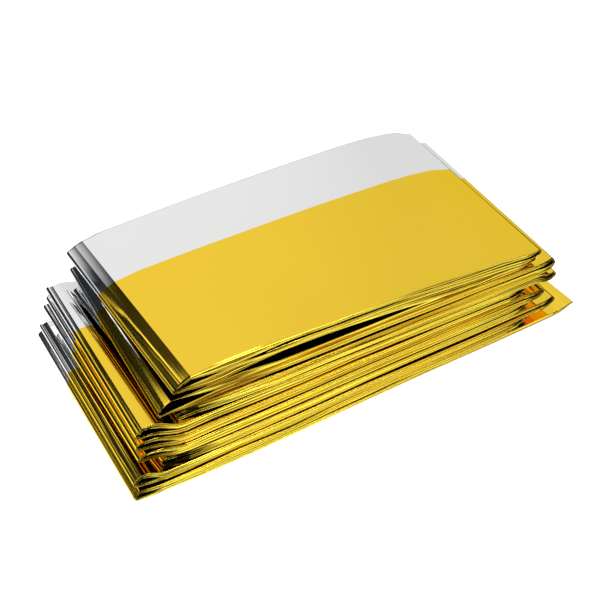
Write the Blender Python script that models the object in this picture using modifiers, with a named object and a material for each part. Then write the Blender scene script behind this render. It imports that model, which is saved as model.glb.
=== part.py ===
"""Folded emergency foil blanket: one metallised film, folded back and forth into a flat pack.

The film is first pleated lengthwise into a strip, which is then laid back and forth in nineteen
leaves. Each leaf is a bundle of thin plies about a millimetre thick, so the pack is one strip:
a mid surface worked out leaf by leaf and fold by fold, and given its thickness by Solidify.
The leaves are numbered along the strip. Leaf 0 is the tucked-in end, which lies under the top
leaf, leaf 1, and on leaf 2; from there they follow downwards to the bottom leaf.
X runs along the leaves, Y from the front folds to the back, Z up. The origin is under the
middle of the pack.
"""

import bpy
import numpy as np

MM = 0.001

# Driving dimensions, in metres.
DEPTH = 63.5 * MM  # width of the pleated strip, from its front fold to its back
LEAF_THICKNESS = 1.0 * MM  # one leaf, all its plies pressed together
TUCK_END = 38.0 * MM  # X at which the tucked-in leaf ends, between the top leaf and the next
TUCK_PITCH = 1.4 * MM  # from leaf to leaf where it lies between the two
TOP_FOLD_PITCH = 1.5 * MM  # from the top leaf to the next at their fold, with nothing between

# Heights of the pack's upper face at the left and right ends, how far the middle stands above a
# straight line between them, and how far the face droops at the right end.
TOP_FRONT = {"left": 29.4 * MM, "right": 25.9 * MM, "crown": 0.9 * MM, "droop": 1.2 * MM}
TOP_BACK = {"left": 27.5 * MM, "right": 29.6 * MM, "crown": 1.1 * MM, "droop": 2.4 * MM}
# The same for the lower leaves, from leaf 3 down, which lie pressed together.
STACK_FRONT = {"left": 22.0 * MM, "right": 20.6 * MM, "crown": 0.4 * MM, "droop": 0.0 * MM}
STACK_BACK = {"left": 20.7 * MM, "right": 24.5 * MM, "crown": 1.2 * MM, "droop": 1.3 * MM}
DROOP_START = 100.0 * MM  # where the droop starts
DROOP_END = 121.0 * MM  # and where it is complete

STACK_LEFT = 15.0 * MM  # where the leaves start to lie parallel
STACK_RIGHT = 117.0 * MM  # where they end doing so
LEFT_FAN = 11.0 * MM  # length over which a leaf leaves the stack towards its left fold
RIGHT_FAN = 7.0 * MM  # and towards its right fold or free end
LIFT_FADE = 1.5  # power by which the lifts of the folds pass from their front to their back values

# The folds from the top down, in millimetres: the tip's X at the front and at the back, and how
# far the upper and the lower leaf stand above their places in the stack, at the front and, both
# alike, at the back. A free end has one leaf, so its two front lifts are the same.
# Columns: tip_front, tip_back, lift_upper, lift_lower, lift_back.
LEFT_FOLDS = (
    (13.6, 13.3, -1.2, -1.2, -0.8),  # the top fold
    (9.0, 13.4, 2.6, 1.3, 0.0),  # a wide open one
    (14.1, 14.2, 0.0, 0.0, 0.0),  # set back
    (3.1, 6.4, 2.7, 2.4, 0.0),
    (2.8, 5.9, 2.4, 2.2, 0.0),
    (2.8, 5.0, 2.0, 1.8, 0.0),
    (8.5, 6.2, -0.2, -0.2, 0.0),  # set back
    (0.8, 3.0, 0.0, 0.0, 0.0),
    (0.0, 2.4, 0.0, 0.0, 0.0),  # the fold of the bottom leaf
)
RIGHT_FOLDS = (
    (121.4, 121.8, 0.0, 0.0, -0.3),  # from the top leaf to the tucked-in end
    (120.6, 121.2, 0.0, 0.0, -0.1),
    (127.3, 127.6, -0.4, -0.6, 0.1),
    (127.9, 126.2, -1.9, -1.9, 0.0),
    (117.2, 121.0, 0.0, 0.0, 0.0),
    (124.2, 125.0, -0.9, -0.9, 0.0),
    (118.9, 122.0, 0.0, 0.0, 0.0),
    (128.5, 127.0, -0.2, -0.2, 0.0),
    (119.1, 123.0, 0.0, 0.0, 0.0),
    (134.8, 133.6, 1.4, 1.4, 0.0),  # free end of the bottom leaf, its front corner curled up
)

# Front and back edge of each leaf, in millimetres behind the nominal front and back of the
# strip. The rows are in the order of the leaves, the tucked-in one first.
LEAF_EDGE_COLUMNS = ("front", "back")
LEAF_EDGES = (
    (0.7, 0.4),
    (0.8, 0.2),
    (1.0, -0.3),
    (1.9, -0.6),
    (1.5, 0.1),
    (0.9, 0.5),
    (0.6, -0.2),
    (0.4, -0.5),
    (0.8, 0.3),
    (0.3, 0.4),
    (0.5, -0.4),
    (0.1, 0.0),
    (0.4, 0.5),
    (0.2, -0.3),
    (0.5, 0.2),
    (0.0, -0.6),
    (0.3, 0.3),
    (0.1, 0.4),
    (0.0, 0.0),
)

BOTTOM = len(LEAF_EDGES) - 1  # number of the bottom leaf
DEPTH_STATIONS = (0.0, 0.2, 0.5, 0.8, 1.0)  # fractions of the depth at which the strip is laid out
FAN_STEPS = 4  # stations along each end of a leaf
MIDDLE_STEPS = 7  # stations along its middle
FOLD_STEPS = 6  # straight facets round a fold

COLLECTION_NAME = "foil_blanket"
STRIP_NAME = "foil_blanket"
GOLD = (0.83, 0.55, 0.06, 1.0)


def clear_scene():
    for obj in list(bpy.data.objects):
        bpy.data.objects.remove(obj, do_unlink=True)


def column(rows, names, name):
    """One named column of a table in millimetres, as an array in metres."""
    return np.array([row[names.index(name)] for row in rows]) * MM


def falloff(share):
    """A smooth step that is 1 where share is 0 or less and 0 where it is 1 or more."""
    return 0.5 + 0.5 * np.cos(np.pi * np.clip(share, 0.0, 1.0))


def surface_height(front, back, x, depth):
    """Height of a crowned face: a straight line from left to right plus a parabola, less a droop
    that grows with the square of the way past its start, blended from its front values to its
    back values."""
    along = np.clip((x - STACK_LEFT) / (STACK_RIGHT - STACK_LEFT), 0.0, 1.0)
    past = np.clip((x - DROOP_START) / (DROOP_END - DROOP_START), 0.0, 1.0)
    heights = [
        face["left"] + (face["right"] - face["left"]) * along + 4.0 * face["crown"] * along * (1.0 - along)
        - face["droop"] * past ** 2
        for face in (front, back)
    ]
    return heights[0] + (heights[1] - heights[0]) * depth


def stacked_height(leaf, x, depth):
    """Mid height of a leaf where it lies in the stack. The top leaf, the tucked-in one and leaf 2
    hang under the upper face, and the others share the height of the lower stack evenly."""
    half = LEAF_THICKNESS / 2.0
    if leaf <= 2:
        top = surface_height(TOP_FRONT, TOP_BACK, x, depth) - half
        tucked = 1.0 - falloff((x - STACK_LEFT) / LEFT_FAN)
        below_top = {
            1: 0.0,
            0: TUCK_PITCH,
            2: TOP_FOLD_PITCH + (2.0 * TUCK_PITCH - TOP_FOLD_PITCH) * tucked,
        }
        return top - below_top[leaf]
    top = surface_height(STACK_FRONT, STACK_BACK, x, depth)
    pitch = (top - LEAF_THICKNESS) / (BOTTOM - 3)
    return half + (BOTTOM - leaf) * pitch


class Fold:
    """One end of two leaves at one depth: the half circle that joins the upper to the lower. A
    free end has one leaf in both places, and no radius."""

    def __init__(self, row, upper, lower, depth, side):
        tip_front, tip_back, *lifts, lift_back = np.array(row) * MM
        tip = tip_front + (tip_back - tip_front) * depth - side * LEAF_THICKNESS / 2.0
        fade = (1.0 - depth) ** LIFT_FADE
        self.height = {
            leaf: stacked_height(leaf, tip, depth) + lift_back + (lift - lift_back) * fade
            for leaf, lift in zip((upper, lower), lifts)
        }
        self.radius = (self.height[upper] - self.height[lower]) / 2.0
        self.side = side
        self.centre_x = tip - side * self.radius

    def half_circle(self, leaf):
        """Points round the fold from this leaf to the next, without its two ends. The third
        number passes from this leaf's number to the next one's."""
        start, end = self.height[leaf], self.height[leaf + 1]
        turn = np.pi * np.arange(1, FOLD_STEPS) / FOLD_STEPS
        x = self.centre_x + self.side * self.radius * np.sin(turn)
        z = (start + end) / 2.0 + (start - end) / 2.0 * np.cos(turn)
        return np.column_stack([x, z, leaf + turn / np.pi])


def folds_at(depth):
    """The folds at both ends of the leaves, each keyed by the leaf that comes first along the
    strip. Leaf 0 and the bottom leaf end free, the one at the left and the other at the right."""
    left, right = {}, {}
    for number, row in enumerate(LEFT_FOLDS):
        first = 2 * number + 1
        left[first] = Fold(row, first, first + 1, depth, -1)
    for number, row in enumerate(RIGHT_FOLDS):
        first = 2 * number
        upper, lower = (1, 0) if first == 0 else (first, min(first + 1, BOTTOM))
        right[first] = Fold(row, upper, lower, depth, 1)
    return left, right


def leaf_run(leaf, start, start_height, fold, depth):
    """Points along one leaf, from X at its left end to its right fold. It lies at its height in
    the stack, and rises or falls smoothly towards the height of the fold at each end."""
    end = fold.centre_x
    fan_left = start + LEFT_FAN * np.linspace(0.0, 1.0, FAN_STEPS + 1)
    fan_right = end - RIGHT_FAN * np.linspace(1.0, 0.0, FAN_STEPS + 1)
    middle = np.linspace(fan_left[-1], fan_right[0], MIDDLE_STEPS + 1)[1:-1]
    x = np.concatenate([fan_left, middle, fan_right])
    z = stacked_height(leaf, x, depth)
    left_rise = (start_height or z[0]) - z[0]
    right_rise = fold.height[leaf] - z[-1]
    z = z + left_rise * falloff((x - start) / LEFT_FAN) + right_rise * falloff((end - x) / RIGHT_FAN)
    return np.column_stack([x, z, np.full(len(x), leaf)])


def section(depth):
    """The strip's mid line at one depth, from the tucked-in end to the bottom leaf's free end, as
    an array of X, Z and the number of the leaf."""
    left, right = folds_at(depth)
    line = [leaf_run(0, TUCK_END, None, right[0], depth), right[0].half_circle(0)]
    for leaf in range(1, BOTTOM + 1):
        leftward = leaf % 2 == 1
        left_fold = left[leaf if leftward else leaf - 1]
        right_fold = right[leaf - 1 if leftward else leaf]
        run = leaf_run(leaf, left_fold.centre_x, left_fold.height[leaf], right_fold, depth)
        line.append(run[::-1] if leftward else run)
        if leaf < BOTTOM:
            line.append((left_fold if leftward else right_fold).half_circle(leaf))
    return np.concatenate(line)


def strip_grid():
    """The strip's mid surface as a grid of points: stations along the strip by depth stations.
    Between two leaves the edges pass evenly from the one to the other."""
    fronts = column(LEAF_EDGES, LEAF_EDGE_COLUMNS, "front")
    backs = column(LEAF_EDGES, LEAF_EDGE_COLUMNS, "back")
    lines = []
    for depth in DEPTH_STATIONS:
        x, z, leaf = section(depth).T
        front = np.interp(leaf, np.arange(BOTTOM + 1), fronts)
        back = DEPTH + np.interp(leaf, np.arange(BOTTOM + 1), backs)
        lines.append(np.column_stack([x, front + (back - front) * depth, z]))
    grid = np.stack(lines, axis=1)
    low, high = grid.min(axis=(0, 1)), grid.max(axis=(0, 1))
    low[0] -= LEAF_THICKNESS / 2.0  # the left folds reach this far past the mid surface
    grid[:, :, :2] -= ((low + high) / 2.0)[:2]
    return grid


def grid_faces(rows, columns):
    """Corner numbers of the squares of a grid, with their normals on the upper side of the
    first leaf."""
    corner = np.arange(rows * columns).reshape(rows, columns)
    squares = [corner[:-1, :-1], corner[:-1, 1:], corner[1:, 1:], corner[1:, :-1]]
    return np.stack(squares, axis=-1).reshape(-1, 4)


def film_material():
    material = bpy.data.materials.new("gold_film")
    material.use_nodes = True
    shader = material.node_tree.nodes["Principled BSDF"]
    shader.inputs["Base Color"].default_value = GOLD
    shader.inputs["Roughness"].default_value = 0.12
    shader.inputs["Metallic"].default_value = 1.0
    material.diffuse_color = GOLD
    return material


def build_strip(collection):
    grid = strip_grid()
    rows, columns = grid.shape[:2]
    mesh = bpy.data.meshes.new(STRIP_NAME)
    mesh.from_pydata(grid.reshape(-1, 3).tolist(), [], grid_faces(rows, columns).tolist())
    mesh.materials.append(film_material())
    strip = bpy.data.objects.new(STRIP_NAME, mesh)
    collection.objects.link(strip)
    thickness = strip.modifiers.new("film_thickness", "SOLIDIFY")
    thickness.thickness = LEAF_THICKNESS
    thickness.offset = 0.0
    thickness.use_even_offset = True
    mesh.update()
    mesh.shade_smooth()
    mesh.set_sharp_from_angle(angle=np.radians(50.0))
    return strip


def main():
    clear_scene()
    collection = bpy.data.collections.new(COLLECTION_NAME)
    bpy.context.scene.collection.children.link(collection)
    build_strip(collection)


main()
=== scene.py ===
"""Emergency foil blanket: the thin two-faced film laid on the folds of the frame's solid, and its studio.

The film is one sheet, gold on one face and silver on the other. It is pleated lengthwise into a
strip of twenty-six plies, and the strip is laid back and forth in nineteen leaves. A point of the
sheet has two flat coordinates: its way along the strip, and its way across the pleats. The whole
surface is one grid over these two, carried on the mid surface of the solid.
Leaf 0 is the tucked-in end under the top leaf, leaf 1 is the top leaf, and the leaves below follow.
X runs along the leaves, Y from the front folds to the back, Z up. Sizes are in metres, except in the
tables that say millimetres.
"""

import math

import bpy
import numpy as np
from bpy.props import FloatProperty, FloatVectorProperty, PointerProperty
from bpy.types import Operator, Panel, PropertyGroup
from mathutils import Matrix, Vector


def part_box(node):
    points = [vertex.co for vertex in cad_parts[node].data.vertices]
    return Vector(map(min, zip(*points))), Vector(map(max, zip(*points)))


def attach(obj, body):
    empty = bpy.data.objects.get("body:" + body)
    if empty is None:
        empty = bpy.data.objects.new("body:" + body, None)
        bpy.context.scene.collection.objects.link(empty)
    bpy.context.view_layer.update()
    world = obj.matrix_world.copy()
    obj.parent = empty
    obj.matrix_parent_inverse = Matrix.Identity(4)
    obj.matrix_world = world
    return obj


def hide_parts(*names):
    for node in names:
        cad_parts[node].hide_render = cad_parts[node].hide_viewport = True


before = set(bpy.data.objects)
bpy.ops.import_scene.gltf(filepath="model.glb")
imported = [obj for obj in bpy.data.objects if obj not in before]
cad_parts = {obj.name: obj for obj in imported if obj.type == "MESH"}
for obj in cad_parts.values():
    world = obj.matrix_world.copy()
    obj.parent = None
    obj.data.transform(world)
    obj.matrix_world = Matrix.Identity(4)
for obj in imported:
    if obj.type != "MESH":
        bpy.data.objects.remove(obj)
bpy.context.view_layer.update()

bl_info = {
    "name": "Folded foil blanket",
    "version": (1, 0, 0),
    "blender": (4, 5, 0),
    "location": "View3D > Sidebar > Foil blanket",
    "description": "Makes the folded metallised film and the studio around it",
    "category": "Add Mesh",
}

NODE = "foil_blanket"
FILM_NAME = "foil_film"
MM = 0.001

# The strip's mid surface, as the frame's solid has it.
DEPTH = 63.5 * MM
SOLID_LEAF = 1.0 * MM  # thickness of a leaf of the solid
STACK_TOP = 3  # uppermost leaf of the stack, on which the tucked-in end and the two top leaves lie
TUCK_END = 38.0 * MM  # X where the tucked-in end stops
TUCK_PITCH = 1.4 * MM  # between the top leaf and the tucked-in end under it
TOP_FOLD_PITCH = 1.5 * MM  # between the two top leaves, left of the tucked-in end
# Heights of the upper face at its left and right ends, how far its middle stands above a straight line
# between them, and how far it droops at the right end.
TOP_FRONT = {"left": 29.4 * MM, "right": 25.9 * MM, "crown": 0.9 * MM, "droop": 1.2 * MM}
TOP_BACK = {"left": 27.5 * MM, "right": 29.6 * MM, "crown": 1.1 * MM, "droop": 2.4 * MM}
STACK_FRONT = {"left": 22.0 * MM, "right": 20.6 * MM, "crown": 0.4 * MM, "droop": 0.0 * MM}
STACK_BACK = {"left": 20.7 * MM, "right": 24.5 * MM, "crown": 1.2 * MM, "droop": 1.3 * MM}
STACK_LEFT = 15.0 * MM
STACK_RIGHT = 117.0 * MM
DROOP_START = 100.0 * MM
DROOP_END = 121.0 * MM
PAIR_SHIFT = 0.08 * MM  # how far the two leaves of a left fold lie nearer to each other in the stack
TUCK_FAN = 11.0 * MM  # length over which the tucked-in end parts the two top leaves
RIGHT_FAN = 7.0 * MM  # length over which the leaves rise or fall to their right folds
LAST_STRAIGHT = 4  # lowest leaf that comes down from its left fold along a straight ramp
FLAT_START = 0.2  # share of a lower leaf's ramp over which it stays flat behind its crease

# Folds from the top down, in millimetres. At a left fold the upper leaf comes to a crease, from which
# a flat facet falls to the rounded nose. The columns give X of the tip, the rise of the crease and of
# the lower leaf's end over their places in the stack, the facet's width and its drop, X where both
# leaves are down in the stack again, and how far the strip's edge is drawn in at the fold.
LEFT_COLUMNS = ("tip", "upper", "lower", "facet", "drop", "ramp", "inset")
LEFT_FOLDS = (  # front, back
    ((13.6, 0.0, -1.9, 4.1, 2.6, 30.0, 0.0), (13.3, 0.0, -1.2, 4.0, 1.6, 24.0, 0.3)),
    ((9.4, 1.5, -0.7, 2.6, 1.7, 25.0, 0.0), (13.4, 0.6, 0.0, 1.9, 0.6, 22.0, 0.4)),
    ((14.1, -0.6, -0.5, 1.1, 0.4, 20.0, 1.6), (14.2, 0.2, 0.0, 1.1, 0.3, 20.0, 3.0)),
    ((3.1, 3.6, 2.4, 0.9, 0.8, 15.8, 0.0), (6.4, 2.1, 1.6, 0.8, 0.5, 15.0, 0.3)),
    ((2.8, 2.4, 1.65, 1.0, 0.55, 15.8, 0.4), (5.9, 1.6, 1.2, 0.9, 0.4, 14.0, 0.6)),
    ((2.8, 1.95, 1.15, 1.0, 0.55, 15.8, 0.3), (5.0, 1.2, 0.9, 0.9, 0.3, 13.0, 0.2)),
    ((8.5, -0.15, -0.55, 0.8, 0.45, 16.0, 1.8), (6.2, 0.2, -0.2, 0.8, 0.45, 14.0, 2.4)),
    ((0.8, 1.2, 0.3, 1.5, 1.0, 9.0, 0.0), (3.0, 1.5, 0.8, 1.2, 0.75, 9.0, 0.3)),
    ((0.0, 0.4, 0.0, 0.9, 0.5, 8.0, -0.8), (2.4, 0.6, 0.0, 0.8, 0.45, 8.0, 0.0)),
)
# A right fold is a plain nose between two risen ends. The columns give X of the tip at the front and at
# the back, and the rise of the upper leaf at the front, of the lower leaf at the front and of both at
# the back. The last row is the bottom leaf's free end.
RIGHT_FOLDS = (
    (121.4, 121.8, 0.0, 0.0, -0.3),
    (120.6, 121.2, 0.0, 0.0, -0.3),
    (127.3, 127.6, -0.4, -0.6, 0.3),
    (127.9, 126.2, -1.9, -1.9, 0.0),
    (117.2, 121.0, 0.0, 0.0, 0.0),
    (124.2, 125.0, -0.9, -0.9, 0.0),
    (118.9, 122.0, 0.0, 0.0, 0.0),
    (128.5, 127.0, -0.2, -0.2, 0.0),
    (119.1, 123.0, 0.0, 0.0, 0.0),
    (134.8, 133.6, 1.4, 1.4, 0.0),
)

# The bundle of plies in each leaf, from the tucked-in end along the strip, in millimetres: where its
# front and its back edge lie, how thick it is, how far its thin and its thick front fold are set back
# and bulge, and, as a share, how deep a crease runs along the thick one. share is the thin group's part
# of the thickness.
BUNDLE_COLUMNS = ("front", "back", "thick", "share", "back_thin", "back_bulk", "bulge", "crease")
BUNDLES = (
    (0.7, 0.4, 1.05, 0.40, 0.2, 0.0, 0.29, 0.10),
    (0.8, 0.2, 1.12, 0.38, 0.0, 0.1, 0.32, 0.20),
    (1.0, -0.3, 1.12, 0.30, 0.3, 0.0, 0.32, 0.25),
    (1.9, -0.6, 1.16, 0.42, 0.0, 0.3, 0.29, 0.05),
    (1.5, 0.1, 1.16, 0.28, 0.0, 0.2, 0.35, 0.30),
    (0.9, 0.5, 1.16, 0.35, 0.3, 0.0, 0.32, 0.15),
    (0.6, -0.2, 1.18, 0.45, 0.0, 0.0, 0.26, 0.05),
    (0.4, -0.5, 1.12, 0.25, 0.4, 0.1, 0.38, 0.35),
    (0.8, 0.3, 1.16, 0.40, 0.0, 0.2, 0.29, 0.10),
    (0.3, 0.4, 1.18, 0.32, 0.2, 0.0, 0.32, 0.25),
    (0.5, -0.4, 1.12, 0.50, 0.0, 0.3, 0.26, 0.00),
    (0.1, 0.0, 1.16, 0.30, 0.3, 0.0, 0.35, 0.30),
    (0.4, 0.5, 1.16, 0.38, 0.0, 0.2, 0.32, 0.15),
    (0.2, -0.3, 1.12, 0.26, 0.2, 0.0, 0.32, 0.35),
    (0.5, 0.2, 1.16, 0.44, 0.0, 0.1, 0.29, 0.05),
    (0.0, -0.6, 1.18, 0.30, 0.3, 0.0, 0.35, 0.25),
    (0.3, 0.3, 1.13, 0.36, 0.1, 0.2, 0.29, 0.10),
    (0.1, 0.4, 1.16, 0.28, 0.3, 0.0, 0.35, 0.30),
    (0.0, 0.0, 1.12, 0.40, 0.0, 0.1, 0.29, 0.15),
)
BUNDLE_SHARES = ("share", "crease")  # the columns that aren't in millimetres
BOTTOM = len(BUNDLES) - 1
FOLD_THICK = 0.55 * MM  # a bundle where it goes round a fold
GRIP_LEFT, GRIP_RIGHT = 12.0 * MM, 7.0 * MM  # lengths over which it thins towards the folds
GROOVE = 0.97  # share of each group's room that it fills, so that a groove stays between the two
CREASE_LEVEL, CREASE_WIDTH = 0.1, 0.12  # place and width of the thick fold's crease, as levels
INSET_REACH = 9.0 * MM  # length over which the strip's edges are drawn in towards a left fold
ROUND_REACH = 5.0 * MM  # reach of the rounded corners of the right folds
ROUND_INSET = 1.0 * MM  # how far such a corner is drawn in
ROUND_POWER = 4  # power with which that fades with the distance from the corner
HIDDEN_BACK = 1.5 * MM  # how far the hidden plies stay behind the front folds
BLUNT = 0.5  # power that blunts the section of a front fold
RIDGE = 0.09 * MM  # height of the fine ridges along the left and right folds

# How far forward the front of the bottom leaf lies at each X, in millimetres. The leaves above it share
# in this, down to nothing at the top of the stack.
BOW = (
    (0.0, 1.2), (5.0, 2.2), (11.0, 2.8), (20.0, 2.7), (43.0, 2.3),
    (66.0, 1.3), (89.0, 0.9), (110.0, 0.6), (121.0, 0.0),
)

# Grooves along the front folds: the level at which one runs, how far it strays from it, its width in
# level, its greatest depth along the leaf and its depth where the plies part, in millimetres. They part
# near the tips of the folds and where the table below says so.
SEED = 5
KNOT = 14.0 * MM  # distance between the places where a groove turns
WANDER_LENGTH = 150.0 * MM  # length that the knots cover
GROOVES = (
    (0.80, 0.06, 0.09, 0.08, 0.35),
    (0.55, 0.06, 0.09, 0.10, 0.45),
    (0.28, 0.06, 0.09, 0.00, 0.50),
    (0.00, 0.08, 0.10, 0.14, 0.60),
    (-0.28, 0.10, 0.12, 0.16, 0.60),
    (-0.55, 0.08, 0.10, 0.06, 0.60),
    (-0.80, 0.06, 0.10, 0.12, 0.50),
)
PARTED_LEAST = 0.4  # least share of its depth that a groove has where the plies part
PARTED_LEFT, PARTED_RIGHT = 14.0 * MM, 9.0 * MM  # reach of the parted plies from the tips of the folds

# Places where plies of the front folds sag, part or are pushed back, in millimetres: the leaf, where
# along it and over what reach, how far back and up, how much thicker the plies lie, and, as a share, how
# far they part.
DENTS = (
    (1, 27.0, 17.0, 0.0, -0.70, 1.40, 1.0),
    (2, 26.0, 18.0, 0.3, -0.40, 1.80, 1.2),
    (3, 29.0, 16.0, 0.2, 0.60, 1.10, 1.2),
    (4, 27.0, 17.0, 0.4, -0.10, 0.15, 1.2),
    (5, 30.0, 15.0, 0.1, 0.00, 0.10, 0.9),
    (6, 23.0, 13.0, 0.4, 0.00, 0.00, 1.2),
    (7, 30.0, 12.0, 0.2, 0.00, 0.00, 0.8),
    (8, 25.0, 15.0, 0.3, 0.00, 0.00, 0.6),
    (11, 24.0, 14.0, 0.2, 0.00, 0.00, 0.7),
    (1, 96.0, 30.0, 0.0, -0.25, 0.50, 0.5),
    (0, 96.0, 30.0, 0.2, -0.50, 0.40, 0.4),
    (2, 94.0, 28.0, 0.0, -1.20, 1.00, 1.0),
    (3, 96.0, 28.0, 0.2, 0.40, 0.90, 0.9),
    (3, 57.0, 14.0, 0.6, -0.60, -0.20, 0.3),
    (4, 57.0, 14.0, 0.2, -0.20, 0.00, 0.4),
    (4, 17.0, 9.0, 0.3, -0.40, 0.40, 0.6),
    (7, 9.0, 7.0, 0.0, -0.30, 0.60, 0.6),
    (15, 6.0, 7.0, 0.0, -0.20, 0.40, 0.5),
)
UNEVEN = (0.22, 0.12, 0.30, 0.30)  # the last four columns once more, wandering along every leaf
EDGE_DIP = 0.19 * MM  # dip of the top leaf's front edge, which carries a white line
EDGE_DIP_FROM, EDGE_DIP_TO = 14.0 * MM, 48.0 * MM

# Pleats of the strip.
THIN_GROUP = 8  # plies in the thin group, its flap among them
BULK_GROUP = 18  # and in the thick one
UNHIDDEN = 3  # plies of a group that aren't hidden: its flap, the ply along the groove and the silver one
FLAP = 0.67  # share of the depth that an outer flap covers
FLAP_STEPS = (1.0, 0.8, 0.55, 0.3, 0.09, 0.020)
# The silver ply behind the flap: its stations' share of the depth and how deep it lies in its group.
COVER = ((0.0, 0.35), (0.35, 0.25), (0.58, 0.20), (0.67, 0.13), (0.80, 0.05), (0.985, 0.04))
COVER_EDGE = 0.03  # and how deep it lies where it turns at the back
INNER_ROOM = (0.4, 0.8)  # where the hidden plies lie within their group, from its outer face
THIN_TURN = 9  # points round each front fold and round the back
BULK_TURN = 15
BACK_TURN = 7

# Stations along each leaf and round its folds. Those of the middle and of the right fan are crowded to
# the left and to the fold by a power.
LEFT_STEPS = 6
MIDDLE_STEPS = {"top": (13, 1.0), "stack": (7, 1.3)}
RIGHT_STEPS, RIGHT_CROWDING = 5, 1.2
LEFT_TURN = 8
RIGHT_TURN = 8
# A facet is bent along a line: the stations' share of its width, and their share of its drop.
FACET_BEND = ((0.50, 0.385), (0.56, 0.45), (0.97, 0.965))

# The film's fine creases, its slow change of tone and where shade is painted between the plies: how many
# times a metre each noise changes along the strip and across it, and its detail.
NOISES = {
    "lines along the front folds": ((12.0, 2400.0), 1.0),
    "lines where a leaf turns": ((1400.0, 12.0), 3.0),
    "slow change of tone": ((14.0, 14.0), 1.0),
    # This noise places the painted shade in the gaps between the plies of the front folds.
    "gaps between the plies": ((8.0, 2900.0), 0.0),
}
LINE_HEIGHT = 0.024 * MM  # height of the lines along the front folds
TURN_HEIGHT = 0.013 * MM  # and of those where a leaf turns
TURN_LEFT, TURN_RIGHT = 2.6 * MM, 2.5 * MM  # how far from the folds these reach
GAP_SHADE_FROM, GAP_SHADE_FULL = 0.55, 0.68  # values of the noise between which the painted shade in a gap between plies grows from none to full
GAP_SHADE_WIDENED = 0.23  # what is added to the noise values where the plies part, which widens the painted shade there
TONE_DARK = 0.96  # share of the colour where its tone is darkest
RUBBED_GLOSS = 0.06  # roughness added where the film is rubbed
GOLD_CRINKLE, SILVER_CRINKLE = 1.0, 0.3  # strength of the creases on each face
NO_TINT = (1.0, 1.0, 1.0)

# The photograph's camera: 31 degrees left of the front and 40 above, 76.8 mm lens.
CAMERA_PLACE = (-0.1358, -0.2255, 0.2300)
CAMERA_TURN = (90.0 - 40.07, 0.0, -30.76)
CAMERA_LENS = 76.8
CAMERA_CLIP = 0.01

FLOOR_SIZE = 4.0
FLOOR_DROP = 0.05 * MM  # how far the floor lies under the film, so that they don't touch
FLOOR_GLOSS = 0.9
LAMP_SIZE = 3.0
LAMP_HEIGHT = 1.5
LAMP_POWER = 18.0  # watts at a floor light of 1
WHITE_LEVEL = 1.6  # level of the white around the floor
DARK = (0.016, 0.019, 0.025)
# What the film mirrors: soft boxes on a dark studio. The columns give a field's bearing from +Y towards
# +X and its height, both in degrees, how far from there it starts to fade and has faded out, and its
# level. A later row covers an earlier one.
FIELDS = (
    (0.0, -90.0, 70.0, 80.0, 1.35),  # the floor
    (202.0, -38.0, 26.0, 31.0, 0.05),  # black cards on the floor, left and right of the front
    (102.0, -38.0, 18.0, 25.0, 0.05),
    (47.0, -24.0, 18.0, 25.0, 0.05),  # and one behind on the right
    (45.0, 20.0, 13.0, 19.0, 0.79),  # foot of the sweep
    (20.0, 12.0, 14.0, 20.0, 0.79),
    (56.0, 60.0, 10.0, 14.0, 0.80),  # and its head
    (34.0, 40.0, 17.0, 24.0, 0.795),  # sweep behind the pack, mirrored by its flat top
    (12.0, 46.0, 8.0, 24.0, 0.90),  # which is brighter towards the left
    (150.0, 28.0, 22.0, 30.0, 1.2),  # box in front, mirrored by the front folds
    (96.0, 34.0, 14.0, 21.0, 0.9),  # box on the right
    (262.0, 42.0, 18.0, 27.0, 1.2),  # box on the left, which lights the corners
    (0.0, 90.0, 8.0, 14.0, 1.1),  # box overhead
    (84.0, 70.0, 7.0, 10.0, 9.0),  # bare lamp, which draws the white lines
    (-30.0, 40.0, 5.0, 10.0, 0.045),  # dim patches on the left, which streak the left folds
    (-47.0, 14.0, 4.0, 9.0, 0.07),
    (-31.5, 33.8, 1.5, 3.5, 1.3),  # and narrow lights between them, which line the bends of the facets
    (-42.0, 27.0, 1.5, 4.0, 0.9),
)


def colour_property(name, description, default):
    return FloatVectorProperty(
        name=name, description=description, subtype="COLOR", default=default, min=0.0, max=1.0,
    )


class FilmSettings(PropertyGroup):
    gold: colour_property("Gold face", "Colour of the gold face", (0.98, 0.665, 0.052))
    silver: colour_property("Silver face", "Colour of the silver face", (0.90, 0.90, 0.895))
    # Lemon colour painted over the gold along the front folds: a painted highlight for their brighter light.
    gold_front_highlight: colour_property(
        "Gold along the front folds", "Colour of the gold face where it is folded and stretched",
        (0.95, 0.84, 0.09),
    )
    # Near-black brown painted deep between the plies of the front folds: painted shade.
    gold_gap_shade: colour_property(
        "Gold in the gaps", "Colour of the gold face deep between the plies of the front folds",
        (0.16, 0.055, 0.002),
    )
    gold_edge_tint: colour_property(
        "Gold edge tint", "Tint of the gold face seen at a shallow angle", (1.0, 0.86, 0.38),
    )
    thickness: FloatProperty(
        name="Film thickness", description="Thickness of the film", subtype="DISTANCE",
        default=0.012 * MM, min=0.005 * MM, precision=6,
    )
    gloss: FloatProperty(
        name="Roughness", description="Roughness of the smooth film", subtype="FACTOR",
        default=0.05, min=0.0, max=1.0,
    )


class StudioSettings(PropertyGroup):
    floor: colour_property("Floor", "Colour of the floor", (0.92, 0.92, 0.92))
    floor_light: FloatProperty(
        name="Floor light", description="Strength of the even light that falls on the floor",
        default=1.7, min=0.0,
    )


def column(rows, names, name):
    """One named column of a table, as an array."""
    return np.array([row[names.index(name)] for row in rows])


def falloff(share):
    """A smooth step that is 1 where share is 0 or less and 0 where it is 1 or more: half of 1 plus the
    cosine of share times pi."""
    return 0.5 + 0.5 * np.cos(np.pi * np.clip(share, 0.0, 1.0))


# --- mid surface of the strip -------------------------------------------------------------------


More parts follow.
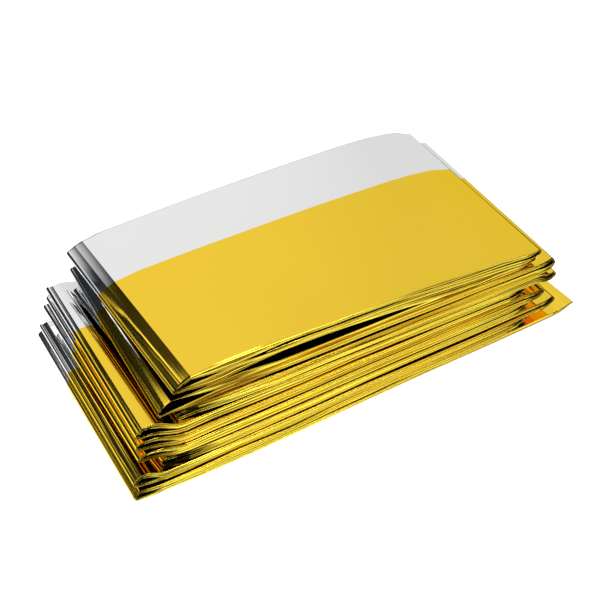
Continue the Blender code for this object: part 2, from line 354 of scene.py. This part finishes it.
def surface_height(front, back, x, depth):
    """Height of a crowned face: a straight line from left to right plus a parabola, less a droop that
    grows with the square of the way past its start, blended from its front values to its back values."""
    along = np.clip((x - STACK_LEFT) / (STACK_RIGHT - STACK_LEFT), 0.0, 1.0)
    past = np.clip((x - DROOP_START) / (DROOP_END - DROOP_START), 0.0, 1.0)
    heights = [
        face["left"] + (face["right"] - face["left"]) * along + 4.0 * face["crown"] * along * (1.0 - along)
        - face["droop"] * past ** 2
        for face in (front, back)
    ]
    return heights[0] + (heights[1] - heights[0]) * depth


def stacked_height(leaf, x, depth):
    """Mid height of a leaf where it lies in the stack, or under the face of the top leaf."""
    half = SOLID_LEAF / 2.0
    if leaf < STACK_TOP:
        top = surface_height(TOP_FRONT, TOP_BACK, x, depth) - half
        tucked = 1.0 - falloff((x - STACK_LEFT) / TUCK_FAN)
        below_top = {
            1: 0.0,
            0: TUCK_PITCH,
            2: TOP_FOLD_PITCH + (2.0 * TUCK_PITCH - TOP_FOLD_PITCH) * tucked,
        }
        return top - below_top[leaf]
    top = surface_height(STACK_FRONT, STACK_BACK, x, depth)
    shift = 0.0 if leaf == BOTTOM else PAIR_SHIFT * (-1.0) ** leaf
    return half + (BOTTOM - leaf) * (top - SOLID_LEAF) / (BOTTOM - STACK_TOP) + shift


class Fold:
    """One end of two leaves at one depth: a half circle between the upper and the lower leaf, with a
    flat facet above it at the left folds. side is -1 at the left and 1 at the right, and rise gives
    the two leaves' rises over their places in the stack."""

    def __init__(self, depth, upper, lower, tip, side, rise, facet=0.0, drop=0.0, ramp=0.0):
        tip -= side * FOLD_THICK / 2.0
        self.side = side
        self.facet = facet
        self.ramp = ramp
        self.height = {leaf: stacked_height(leaf, tip, depth) + rise[leaf] for leaf in (upper, lower)}
        self.nose = {upper: self.height[upper] - drop, lower: self.height[lower]}
        self.radius = (self.nose[upper] - self.nose[lower]) / 2.0
        self.centre_x = tip - side * self.radius
        self.end = {upper: self.centre_x - side * facet, lower: self.centre_x}

    def outline(self, leaf, steps):
        """Stations round the fold without the two leaves' own ends: X, Z, number of the leaf, and
        how far a station is from the left and the right folds."""
        turn = np.pi * np.arange(0, steps) / steps
        start, end = self.nose[leaf], self.nose[leaf + 1]
        x = self.centre_x + self.side * self.radius * np.sin(turn)
        z = (start + end) / 2.0 + (start - end) / 2.0 * np.cos(turn)
        if self.facet > 0.0:
            share, fallen = np.array(FACET_BEND).T
            x = np.concatenate([self.end[leaf] + (self.centre_x - self.end[leaf]) * share, x])
            z = np.concatenate([self.height[leaf] + (start - self.height[leaf]) * fallen, z])
        else:
            x, z = x[1:], z[1:]
        number = leaf + np.linspace(0.0, 1.0, len(x) + 2)[1:-1]
        near, far = np.zeros(len(x)), np.full(len(x), DEPTH)
        return np.column_stack([x, z, number, *((near, far) if self.side < 0 else (far, near))])


def folds_at(depth):
    """The folds at both ends of the leaves, each keyed by the leaf that comes first along the
    strip."""
    left, right = {}, {}
    for number, ends in enumerate(LEFT_FOLDS):
        front, back = np.array(ends) * MM
        tip, upper, lower, facet, drop, ramp, _ = front + (back - front) * depth
        first = 2 * number + 1
        rise = {first: upper, first + 1: lower}
        left[first] = Fold(depth, first, first + 1, tip, -1, rise, facet, drop, ramp)
    for number, row in enumerate(RIGHT_FOLDS):
        tip_front, tip_back, *lifts, lift_back = np.array(row) * MM
        first = 2 * number
        upper, lower = (1, 0) if first == 0 else (first, min(first + 1, BOTTOM))
        rise = {leaf: lift + (lift_back - lift) * depth for leaf, lift in zip((upper, lower), lifts)}
        right[first] = Fold(depth, upper, lower, tip_front + (tip_back - tip_front) * depth, 1, rise)
    return left, right


def leaf_run(leaf, start, start_height, ramp, fold, depth):
    """Stations along one leaf, from its left end to its right fold: its height in the stack, to which
    it comes down along a straight ramp, or an eased one in the lower leaves and on the right."""
    end = fold.end[leaf]
    ramp_left = start + (ramp - start) * np.linspace(0.0, 1.0, LEFT_STEPS)
    fan_right = end - RIGHT_FAN * np.linspace(1.0, 0.0, RIGHT_STEPS) ** RIGHT_CROWDING
    steps, crowding = MIDDLE_STEPS["top" if leaf < STACK_TOP else "stack"]
    middle = np.linspace(0.0, 1.0, steps + 1)[1:-1] ** crowding
    x = np.concatenate([ramp_left, ramp_left[-1] + (fan_right[0] - ramp_left[-1]) * middle, fan_right])
    z = stacked_height(leaf, x, depth)
    left_rise = (start_height or z[0]) - z[0]
    right_rise = fold.height[leaf] - z[-1]
    way_left = (x - start) / (ramp - start)
    if leaf <= LAST_STRAIGHT:
        left_fade = np.clip(1.0 - way_left, 0.0, 1.0)
    else:
        left_fade = falloff((way_left - FLAT_START) / (1.0 - FLAT_START))
    z = z + left_rise * left_fade + right_rise * falloff((end - x) / RIGHT_FAN)
    return np.column_stack([x, z, np.full(len(x), leaf), x - start, end - x])


def mid_line(depth):
    """The strip's mid line at one depth, from the tucked-in end to the bottom leaf's free end."""
    left, right = folds_at(depth)
    tucked_end = leaf_run(0, TUCK_END, None, TUCK_END + TUCK_FAN, right[0], depth)
    line = [tucked_end, right[0].outline(0, RIGHT_TURN)]
    for leaf in range(1, BOTTOM + 1):
        leftward = leaf % 2 == 1
        left_fold = left[leaf if leftward else leaf - 1]
        right_fold = right[leaf - 1 if leftward else leaf]
        run = leaf_run(leaf, left_fold.end[leaf], left_fold.height[leaf], left_fold.ramp, right_fold, depth)
        line.append(run[::-1] if leftward else run)
        if leaf < BOTTOM:
            fold, steps = (left_fold, LEFT_TURN) if leftward else (right_fold, RIGHT_TURN)
            line.append(fold.outline(leaf, steps))
    line = np.concatenate(line)
    line[:, 0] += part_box(NODE)[0].x
    return line


def normals_of(line):
    """Unit normals of a mid line in the X-Z plane, on the side of the top leaf's upper face: the
    line's direction turned a quarter."""
    way = np.concatenate([[0.0], np.cumsum(np.hypot(*np.diff(line[:, :2], axis=0).T))])
    along = np.column_stack([np.gradient(line[:, 0], way), np.gradient(line[:, 1], way)])
    along /= np.linalg.norm(along, axis=1, keepdims=True)
    return np.column_stack([along[:, 1], -along[:, 0]])


def mid_surface(front_line, back_line, part):
    """Points and unit normals of the mid surface, in X and Z, at each station's shares of the way from
    its front line to its back line: both are blended by the share."""
    middle = front_line[:, None, :2] + (back_line - front_line)[:, None, :2] * part[:, :, None]
    fronts, backs = normals_of(front_line), normals_of(back_line)
    normal = fronts[:, None] + (backs - fronts)[:, None] * part[:, :, None]
    return middle, normal / np.linalg.norm(normal, axis=2, keepdims=True)


# --- pleats across the strip --------------------------------------------------------------------


class Pleats:
    """Stations across the strip, from the edge of the one flap to the edge of the other. Each has
    its share of the depth, the two factors of its level in the bundle, which is fixed +
    by_share * share of the thin group, and how far round a front or the back fold it is. The level
    runs from 1 at the bundle's upper face to -1 at its lower one."""

    COLUMNS = ("depth", "fixed", "by_share", "curl", "thin", "bulk", "back")

    def __init__(self):
        self.rows = []
        self.run([FLAP * step for step in FLAP_STEPS], self.thin(0.0))
        self.front(THIN_TURN, self.thin, GROOVE, "thin")
        self.end(1.0, self.thin(GROOVE), "back")
        self.zigzag(THIN_GROUP - UNHIDDEN, self.thin, INNER_ROOM[::-1], "thin", from_back=True)
        self.cover(COVER, self.thin, "thin")
        self.round_back()
        self.cover(COVER[::-1], self.bulk, "bulk")
        self.zigzag(BULK_GROUP - UNHIDDEN, self.bulk, INNER_ROOM, "bulk", from_back=False)
        self.end(1.0, self.bulk(GROOVE), "back")
        self.front(BULK_TURN, self.bulk, GROOVE, "bulk", upward=True)
        self.run([FLAP * step for step in FLAP_STEPS[::-1]], self.bulk(0.0))
        table = np.array(self.rows)
        for number, name in enumerate(self.COLUMNS):
            setattr(self, name, table[:, number])
        self.hidden = (self.depth == 0.0) & (self.curl == 0.0)

    @staticmethod
    def thin(part):
        """Level in the thin group: from the upper face down to the groove."""
        return 1.0, -2.0 * part

    @staticmethod
    def bulk(part):
        """Level in the thick group: from the lower face up to the groove."""
        return -1.0 + 2.0 * part, -2.0 * part

    def add(self, depth, level, curl=0.0, fold=None):
        self.rows.append([depth, *level, curl, *(float(fold == name) for name in ("thin", "bulk", "back"))])

    def run(self, depths, level):
        for depth in depths:
            self.add(depth, level)

    def end(self, depth, level, fold):
        self.add(depth, level, 0.0, fold)

    def cover(self, stations, group, fold):
        """The silver ply, up to its turn at the back."""
        for depth, part in stations:
            self.add(depth, group(part), 0.0, None if depth else fold)

    def zigzag(self, plies, group, room, fold, from_back):
        """Hidden plies, each with its two ends."""
        for number, part in enumerate(np.linspace(*room, plies)):
            starts_back = from_back == (number % 2 == 0)
            ends = (1.0, 0.0) if starts_back else (0.0, 1.0)
            for depth in ends:
                self.end(depth, group(part), "back" if depth else fold)

    def front(self, points, group, most, fold, upward=False):
        """Half turn round the front, between the flap and the group's innermost ply."""
        for angle in np.linspace(np.pi / 2.0, -np.pi / 2.0, points):
            part = most * (1.0 + (1.0 if upward else -1.0) * math.sin(angle)) / 2.0
            self.add(0.0, group(part), math.cos(angle), fold)

    def round_back(self):
        """Half turn round the whole back, from the one silver ply to the other."""
        upper, lower = np.array(self.thin(COVER_EDGE)), np.array(self.bulk(COVER_EDGE))
        for angle in np.linspace(np.pi / 2.0, -np.pi / 2.0, BACK_TURN):
            level = upper + (lower - upper) * (1.0 - math.sin(angle)) / 2.0
            self.add(1.0, level, math.cos(angle), "back")


def wander(random, leaf, x):
    """Random values between -1 and 1 that change evenly from knot to knot along the leaves, and from
    leaf to leaf."""
    table = random.uniform(-1.0, 1.0, (BOTTOM + 2, int(WANDER_LENGTH / KNOT) + 2))
    upper = np.floor(leaf).astype(int)
    knot = np.clip(x / KNOT, 0.0, table.shape[1] - 2.0)
    first = np.floor(knot).astype(int)
    values = [
        table[row, first] + (table[row, first + 1] - table[row, first]) * (knot - first)
        for row in (upper, upper + 1)
    ]
    return values[0] + (values[1] - values[0]) * (leaf - upper)


def front_grooves(random, level, leaf, x, parted):
    """Depth of the grooves along the front folds: for each a bell over the level,
    exp(-((level - place) / width)^2), whose place and depth wander along the leaf."""
    depth = np.zeros(level.shape)
    for middle, stray, width, deep, deep_parted in GROOVES:
        place = middle + stray * wander(random, leaf, x)
        share = 0.5 + 0.5 * wander(random, leaf, x)
        parted_share = PARTED_LEAST + (1.0 - PARTED_LEAST) * share
        strength = (deep * share + deep_parted * parted * parted_share) * MM
        depth += strength[:, None] * np.exp(-(((level - place[:, None]) / width) ** 2))
    return depth


def front_dents(leaf, x):
    """How far back and up a leaf's front is moved, how much thicker it is and how far its plies part:
    for each row of the table a bell over the way along the leaf."""
    moved = np.zeros((len(UNEVEN), len(x)))
    for number, middle, reach, *move in DENTS:
        along = falloff(np.abs(x / MM - middle) / reach) * np.clip(1.0 - np.abs(leaf - number), 0.0, 1.0)
        moved += along * np.array(move)[:, None]
    return moved


def bundles_along(leaf):
    """The bundle's measures at every station: straight lines between the rows of its table."""
    return {
        name: np.interp(leaf, np.arange(BOTTOM + 1), column(BUNDLES, BUNDLE_COLUMNS, name))
        * (1.0 if name in BUNDLE_SHARES else MM)
        for name in BUNDLE_COLUMNS
    }


def strip_edges(leaf, to_left, x, bundle):
    """Y of the strip's front and back edge at every station. Both are drawn in towards the left folds,
    and the fronts of the lower leaves are bowed forward."""
    left_fold = (leaf - 1.5) / 2.0  # number of the left fold, 0 half way round the first one
    drawn_in = falloff(to_left / INSET_REACH)
    inset_front, inset_back = (
        drawn_in * np.interp(left_fold, np.arange(len(LEFT_FOLDS)), column(side, LEFT_COLUMNS, "inset")) * MM
        for side in zip(*LEFT_FOLDS)
    )
    bow = np.interp(x / MM, *np.array(BOW).T) * MM
    bow = bow * np.clip((leaf - STACK_TOP) / (BOTTOM - STACK_TOP), 0.0, 1.0)
    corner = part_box(NODE)[0]
    return bundle["front"] + inset_front - bow + corner.y, bundle["back"] - inset_back + corner.y + DEPTH


def bundle_section(pleats, bundle, level, edge_front, edge_back, rounded):
    """Y of every point without the grooves and dents: its share of the way from the front edge to the
    back edge, drawn in at the rounded corners, and set back and bulging round the folds. Round a fold
    it follows the cosine of its turn, blunted by a power and dented where the crease runs."""
    crease = bundle["crease"][:, None] * pleats.bulk * np.exp(-(((level - CREASE_LEVEL) / CREASE_WIDTH) ** 2))
    bulge = bundle["bulge"][:, None] * (1.0 - pleats.curl ** BLUNT * (1.0 - crease))
    y = edge_front[:, None] * (1.0 - pleats.depth) + edge_back[:, None] * pleats.depth
    y = y + rounded[:, None] * ((1.0 - pleats.depth) ** ROUND_POWER - pleats.depth ** ROUND_POWER)
    swell = bulge + HIDDEN_BACK * pleats.hidden
    for fold in ("thin", "bulk"):
        y = y + getattr(pleats, fold) * (bundle["back_" + fold][:, None] + swell)
    return y - pleats.back * bulge


def film_grid():
    """The film's surface: a grid of points, stations along the strip by stations across it. A point
    lies on the mid surface, which is ruled from its front line to its back line, and is moved along
    the mid surface's normal by its level times half of the bundle's thickness. Also its masks, and
    which rows of it are creased."""
    pleats = Pleats()
    random = np.random.default_rng(SEED)
    front_line, back_line = mid_line(0.0), mid_line(1.0)
    leaf, to_left, to_right = front_line[:, 2:].T
    x = front_line[:, 0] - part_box(NODE)[0].x
    bundle = bundles_along(leaf)
    level = pleats.fixed + pleats.by_share * bundle["share"][:, None]
    gripped = np.maximum(falloff(to_left / GRIP_LEFT), falloff(to_right / GRIP_RIGHT))
    thick = bundle["thick"] + (FOLD_THICK - bundle["thick"]) * gripped

    edge_front, edge_back = strip_edges(leaf, to_left, x, bundle)
    rounded = ROUND_INSET * np.clip(1.0 - to_right / ROUND_REACH, 0.0, 1.0) ** 2 * (leaf < BOTTOM)
    y = bundle_section(pleats, bundle, level, edge_front, edge_back, rounded)
    dent_back, dent_up, spread, parting = (
        move + most * wander(random, leaf, x) for move, most in zip(front_dents(leaf, x), UNEVEN)
    )
    at_tips = np.maximum(falloff(to_left / PARTED_LEFT), falloff(to_right / PARTED_RIGHT))
    parted = np.maximum(at_tips, parting)
    grooves = front_grooves(random, level, leaf, x, parted)
    y = y + grooves * (pleats.curl > 0.0) * (pleats.thin + pleats.bulk)
    y = y + MM * dent_back[:, None] * (1.0 - pleats.depth)

    turning = np.floor(leaf) != leaf
    ridges = [RIDGE * random.uniform(-1.0, 1.0, len(leaf)) * turning for end in ("front", "back")]
    ridge = ridges[0][:, None] + (ridges[1] - ridges[0])[:, None] * pleats.depth
    part = (y - edge_front[:, None]) / (edge_back - edge_front)[:, None]
    middle, normal = mid_surface(front_line, back_line, part)
    place = middle + normal * (level * thick[:, None] / 2.0 + ridge)[:, :, None]
    rise = MM * (dent_up[:, None] + level * spread[:, None] / 2.0 * normal[:, :, 1]) * (1.0 - pleats.depth)
    along_dip = np.clip((x - EDGE_DIP_FROM) / (EDGE_DIP_TO - EDGE_DIP_FROM), 0.0, 1.0)
    dipped = np.sqrt(np.sin(np.pi * along_dip)) * np.clip(1.0 - np.abs(leaf - 1.0), 0.0, 1.0)
    rise = rise - EDGE_DIP * dipped[:, None] * pleats.thin * (pleats.depth == 0.0)
    grid = np.stack([place[:, :, 0], y, place[:, :, 1] + rise], axis=2)

    masks = {
        "front_fold": pleats.curl * (pleats.thin + pleats.bulk),
        "leaf_turn": np.maximum(falloff(to_left / TURN_LEFT), falloff(to_right / TURN_RIGHT))[:, None],
        "parted": np.clip(parted, 0.0, 1.0)[:, None],
    }
    masks = {name: np.broadcast_to(mask, level.shape) for name, mask in masks.items()}
    return grid, masks, (leaf % 2 == 1) & (to_left == 0.0)


# --- mesh and materials -------------------------------------------------------------------------


def flat_coordinates(grid):
    """The flat coordinates of the grid: the mean length along the strip and across it."""
    along = np.linalg.norm(np.diff(grid, axis=0), axis=2).mean(axis=1)
    across = np.linalg.norm(np.diff(grid, axis=1), axis=2).mean(axis=0)
    return np.concatenate([[0.0], np.cumsum(along)]), np.concatenate([[0.0], np.cumsum(across)])


def grid_mesh(name, grid, uv, masks, creases, edge_place):
    """A mesh of the grid's squares, its normals on the gold side, with the sheet's flat coordinates as
    UVs, its masks as point attributes, and its border edges, creased rows and the first flap's front
    edge sharp."""
    rows, columns = grid.shape[:2]
    corner = np.arange(rows * columns).reshape(rows, columns)
    squares = np.stack([corner[:-1, :-1], corner[1:, :-1], corner[1:, 1:], corner[:-1, 1:]], axis=-1)
    mesh = bpy.data.meshes.new(name)
    mesh.from_pydata(grid.reshape(-1, 3).tolist(), [], squares.reshape(-1, 4).tolist())
    mesh.update()
    mesh.shade_smooth()
    corners = np.empty(len(mesh.loops), np.int32)
    mesh.loops.foreach_get("vertex_index", corners)
    layer = mesh.uv_layers.new(name="sheet")
    layer.data.foreach_set("uv", uv.reshape(-1, 2)[corners].astype(np.float32).ravel())
    for mask, values in masks.items():
        attribute = mesh.attributes.new(mask, "FLOAT", "POINT")
        attribute.data.foreach_set("value", values.astype(np.float32).ravel())
    ends = np.empty(len(mesh.edges) * 2, np.int32)
    mesh.edges.foreach_get("vertices", ends)
    row, place = np.divmod(ends.reshape(-1, 2), columns)
    on_row_end = ((row == 0) | (row == rows - 1)).all(axis=1) & (row[:, 0] == row[:, 1])
    on_side = ((place == 0) | (place == columns - 1)).all(axis=1) & (place[:, 0] == place[:, 1])
    sharp = mesh.attributes.new("sharp_edge", "BOOLEAN", "EDGE")
    creased = creases[row].all(axis=1) & (row[:, 0] == row[:, 1]) | (place == edge_place).all(axis=1)
    sharp.data.foreach_set("value", on_row_end | on_side | creased)
    return mesh


def link(tree, source, output, target, socket):
    tree.links.new(source.outputs[output], target.inputs[socket])


def joined(tree, operation, *sources):
    """Numbers and outputs joined one after the other by one operation."""
    first = sources[0]
    for second in sources[1:]:
        node = tree.nodes.new("ShaderNodeMath")
        node.operation = operation
        for socket, value in enumerate((first, second)):
            if isinstance(value, float):
                node.inputs[socket].default_value = value
            else:
                tree.links.new(value, node.inputs[socket])
        first = node.outputs[0]
    return first


def mixed(tree, factor, first, second):
    """A mix of two colours, each an output or a colour's three parts."""
    node = tree.nodes.new("ShaderNodeMix")
    node.data_type = "RGBA"
    tree.links.new(factor, node.inputs["Factor"])
    for name, colour in (("A", first), ("B", second)):
        if isinstance(colour, bpy.types.NodeSocket):
            tree.links.new(colour, node.inputs[name])
        else:
            node.inputs[name].default_value = (*colour, 1.0)
    return node.outputs["Result"]


def smooth_range(tree, value, low, high):
    """A smooth step of a value, from 0 at low to 1 at high."""
    node = tree.nodes.new("ShaderNodeMapRange")
    node.interpolation_type = "SMOOTHSTEP"
    node.inputs["From Min"].default_value = low
    node.inputs["From Max"].default_value = high
    tree.links.new(value, node.inputs["Value"])
    return node.outputs["Result"]


def crease_group():
    """Creases of the film from its flat coordinates: fine lines along the front folds, and lines across
    the strip where a leaf turns. Puts out a height for a Bump node, a mask of the rubbed film, a slow
    change of tone, a mask of the front folds, which carries a painted highlight, and a mask of the painted
    shade in the gaps between their plies, which widens where the plies part."""
    group = bpy.data.node_groups.new("film_creases", "ShaderNodeTree")
    for name in ("Length", "Width"):
        group.interface.new_socket(name, in_out="INPUT", socket_type="NodeSocketFloat")
    for name in ("Height", "Rubbed", "Tone", "Fronts", "Gap_shade"):
        group.interface.new_socket(name, in_out="OUTPUT", socket_type="NodeSocketFloat")
    nodes = group.nodes
    given, result = nodes.new("NodeGroupInput"), nodes.new("NodeGroupOutput")
    uv = nodes.new("ShaderNodeUVMap")
    uv.uv_map = "sheet"
    size = nodes.new("ShaderNodeCombineXYZ")
    link(group, given, "Length", size, "X")
    link(group, given, "Width", size, "Y")
    metres = nodes.new("ShaderNodeVectorMath")
    metres.operation = "MULTIPLY"
    link(group, uv, "UV", metres, 0)
    link(group, size, "Vector", metres, 1)

    def noise(name):
        scale, detail = NOISES[name]
        stretch = nodes.new("ShaderNodeVectorMath")
        stretch.operation = "MULTIPLY"
        stretch.inputs[1].default_value = (*scale, 1.0)
        link(group, metres, "Vector", stretch, 0)
        texture = nodes.new("ShaderNodeTexNoise")
        texture.noise_dimensions = "2D"
        texture.label = name
        texture.inputs["Scale"].default_value = 1.0
        texture.inputs["Detail"].default_value = detail
        link(group, stretch, "Vector", texture, "Vector")
        return texture.outputs["Fac"]

    def mask(name):
        node = nodes.new("ShaderNodeAttribute")
        node.attribute_name = name
        return node.outputs["Fac"]

    fronts, turns = mask("front_fold"), mask("leaf_turn")
    across = noise("lines where a leaf turns")
    lines = joined(group, "MULTIPLY", noise("lines along the front folds"), fronts, LINE_HEIGHT)
    turn_lines = joined(group, "MULTIPLY", across, turns, TURN_HEIGHT)
    # Painted shade between the plies of the front folds: a noise, widened where the plies part.
    widened = joined(group, "MULTIPLY", mask("parted"), GAP_SHADE_WIDENED)
    gaps = joined(group, "ADD", noise("gaps between the plies"), widened)
    outputs = {
        "Height": joined(group, "ADD", lines, turn_lines),
        "Rubbed": joined(group, "MULTIPLY", across, turns),
        "Tone": noise("slow change of tone"),
        "Fronts": fronts,
        "Gap_shade": joined(group, "MULTIPLY", smooth_range(group, gaps, GAP_SHADE_FROM, GAP_SHADE_FULL), fronts),
    }
    for name, output in outputs.items():
        group.links.new(output, result.inputs[name])
    return group


def film_material(name, colours, edge_tint, crinkle, gloss, size, group):
    """A metallised face: mirror-bright, its tone changing a little, with a painted highlight along the front
    folds and painted shade in the gaps between their plies, and rougher where it is rubbed. colours are
    those of the smooth film, of the painted highlight on the front folds and of the painted shade in the
    gaps."""
    material = bpy.data.materials.new(name)
    material.use_nodes = True
    tree = material.node_tree
    shader = tree.nodes["Principled BSDF"]
    shader.inputs["Metallic"].default_value = 1.0
    shader.inputs["Specular Tint"].default_value = (*edge_tint, 1.0)
    creases = tree.nodes.new("ShaderNodeGroup")
    creases.node_tree = group
    creases.inputs["Length"].default_value, creases.inputs["Width"].default_value = size
    smooth, fronts, gaps = colours
    shown = mixed(tree, creases.outputs["Tone"], smooth, [TONE_DARK * part for part in smooth])
    # Painted highlight: the lemon colour laid over the front folds.
    shown = mixed(tree, creases.outputs["Fronts"], shown, fronts)
    # Painted shade: the near-black brown laid in the gaps between the plies of the front folds.
    shown = mixed(tree, creases.outputs["Gap_shade"], shown, gaps)
    tree.links.new(shown, shader.inputs["Base Color"])
    rubbed = tree.nodes.new("ShaderNodeMapRange")
    rubbed.inputs["To Min"].default_value = gloss
    rubbed.inputs["To Max"].default_value = gloss + RUBBED_GLOSS
    link(tree, creases, "Rubbed", rubbed, "Value")
    link(tree, rubbed, "Result", shader, "Roughness")
    bump = tree.nodes.new("ShaderNodeBump")
    bump.inputs["Strength"].default_value = crinkle
    bump.inputs["Distance"].default_value = 1.0
    link(tree, creases, "Height", bump, "Height")
    link(tree, bump, "Normal", shader, "Normal")
    material.diffuse_color = (*smooth, 1.0)
    return material


def build_film(settings):
    """The film's grid as a mesh, given its thickness by a shell whose inner side and rim are silver."""
    grid, masks, creases = film_grid()
    along, across = flat_coordinates(grid)
    uv = np.stack(np.meshgrid(along / along[-1], across / across[-1], indexing="ij"), axis=2)
    mesh = grid_mesh(FILM_NAME, grid, uv, masks, creases, len(FLAP_STEPS) - 1)
    golds = (settings.gold, settings.gold_front_highlight, settings.gold_gap_shade)
    faces = (
        ("gold_face", golds, settings.gold_edge_tint, GOLD_CRINKLE),
        ("silver_face", (settings.silver,) * len(golds), NO_TINT, SILVER_CRINKLE),
    )
    group = crease_group()
    for name, colours, edge_tint, crinkle in faces:
        mesh.materials.append(film_material(
            name, colours, edge_tint, crinkle, settings.gloss, (along[-1], across[-1]), group,
        ))
    film = bpy.data.objects.new(FILM_NAME, mesh)
    bpy.context.scene.collection.objects.link(film)
    shell = film.modifiers.new("film_thickness", "SOLIDIFY")
    shell.thickness = settings.thickness
    shell.offset = -1.0
    shell.material_offset = 1
    shell.material_offset_rim = 1
    return film


# --- studio -------------------------------------------------------------------------------------


def direction(bearing, height):
    bearing, height = math.radians(bearing), math.radians(height)
    return Vector((
        math.sin(bearing) * math.cos(height),
        math.cos(bearing) * math.cos(height),
        math.sin(height),
    ))


def studio_world():
    """The world: an even white to the camera and for the floor, and the bright fields for mirrored
    rays. A field's strength falls from full to none between its two reaches."""
    world = bpy.data.worlds.new("studio")
    world.use_nodes = True
    tree = world.node_tree
    way = tree.nodes.new("ShaderNodeTexCoord")
    colour = DARK
    for bearing, height, reach_full, reach_none, level in FIELDS:
        toward = tree.nodes.new("ShaderNodeVectorMath")
        toward.operation = "DOT_PRODUCT"
        toward.inputs[1].default_value = direction(bearing, height)
        link(tree, way, "Generated", toward, 0)
        none, full = (math.cos(math.radians(reach)) for reach in (reach_none, reach_full))
        strength = smooth_range(tree, toward.outputs["Value"], none, full)
        colour = mixed(tree, strength, colour, (level,) * 3)
    rays = tree.nodes.new("ShaderNodeLightPath")
    shown = mixed(tree, rays.outputs["Is Glossy Ray"], (WHITE_LEVEL,) * 3, colour)
    background = tree.nodes["Background"]
    tree.links.new(shown, background.inputs["Color"])
    background.inputs["Strength"].default_value = 1.0
    bpy.context.scene.world = world


def build_floor(settings):
    half = FLOOR_SIZE / 2.0
    corners = [(-half, -half, 0.0), (half, -half, 0.0), (half, half, 0.0), (-half, half, 0.0)]
    mesh = bpy.data.meshes.new("floor")
    mesh.from_pydata(corners, [], [(0, 1, 2, 3)])
    floor = bpy.data.objects.new("floor", mesh)
    bpy.context.scene.collection.objects.link(floor)
    floor.location.z = -FLOOR_DROP
    material = bpy.data.materials.new("pale_floor")
    material.use_nodes = True
    shader = material.node_tree.nodes["Principled BSDF"]
    shader.inputs["Base Color"].default_value = (*settings.floor, 1.0)
    shader.inputs["Roughness"].default_value = FLOOR_GLOSS
    shader.inputs["Specular IOR Level"].default_value = 0.0
    mesh.materials.append(material)
    floor.visible_glossy = False


def build_lamp(settings):
    """An even light from above that only the floor takes up: mirrored rays don't meet it."""
    data = bpy.data.lights.new("overhead", "AREA")
    data.shape = "SQUARE"
    data.size = LAMP_SIZE
    data.energy = LAMP_POWER * settings.floor_light
    lamp = bpy.data.objects.new("overhead", data)
    lamp.location = (0.0, 0.0, LAMP_HEIGHT)
    lamp.visible_glossy = False
    bpy.context.scene.collection.objects.link(lamp)


def build_camera():
    data = bpy.data.cameras.new("camera")
    data.lens = CAMERA_LENS
    data.clip_start = CAMERA_CLIP
    camera = bpy.data.objects.new("camera", data)
    camera.location = CAMERA_PLACE
    camera.rotation_euler = [math.radians(angle) for angle in CAMERA_TURN]
    bpy.context.scene.collection.objects.link(camera)
    bpy.context.scene.camera = camera


class OBJECT_OT_foil_film(Operator):
    """Makes the folded film"""

    bl_idname = "object.foil_film"
    bl_label = "Make film"

    def execute(self, context):
        film = build_film(context.scene.foil_film)
        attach(film, "root")
        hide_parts(NODE)
        return {"FINISHED"}


class SCENE_OT_foil_studio(Operator):
    """Makes the floor, the lights and the camera"""

    bl_idname = "scene.foil_studio"
    bl_label = "Make studio"

    def execute(self, context):
        settings = context.scene.foil_studio
        studio_world()
        build_floor(settings)
        build_lamp(settings)
        build_camera()
        context.scene.view_settings.view_transform = "Standard"
        return {"FINISHED"}


class VIEW3D_PT_foil_blanket(Panel):
    """Lists what the add-on makes"""

    bl_label = "Foil blanket"
    bl_idname = "VIEW3D_PT_foil_blanket"
    bl_space_type = "VIEW_3D"
    bl_region_type = "UI"
    bl_category = "Foil blanket"

    def draw(self, context):
        for settings, operator in (
            (context.scene.foil_film, OBJECT_OT_foil_film.bl_idname),
            (context.scene.foil_studio, SCENE_OT_foil_studio.bl_idname),
        ):
            box = self.layout.box()
            for name in settings.__annotations__:
                box.prop(settings, name)
            box.operator(operator)


CLASSES = (FilmSettings, StudioSettings, OBJECT_OT_foil_film, SCENE_OT_foil_studio, VIEW3D_PT_foil_blanket)


def register():
    for item in CLASSES:
        bpy.utils.register_class(item)
    bpy.types.Scene.foil_film = PointerProperty(type=FilmSettings)
    bpy.types.Scene.foil_studio = PointerProperty(type=StudioSettings)


def unregister():
    del bpy.types.Scene.foil_studio
    del bpy.types.Scene.foil_film
    for item in reversed(CLASSES):
        bpy.utils.unregister_class(item)


def main():
    register()
    bpy.ops.object.foil_film()
    bpy.ops.scene.foil_studio()


if __name__ == "__main__":
    main()
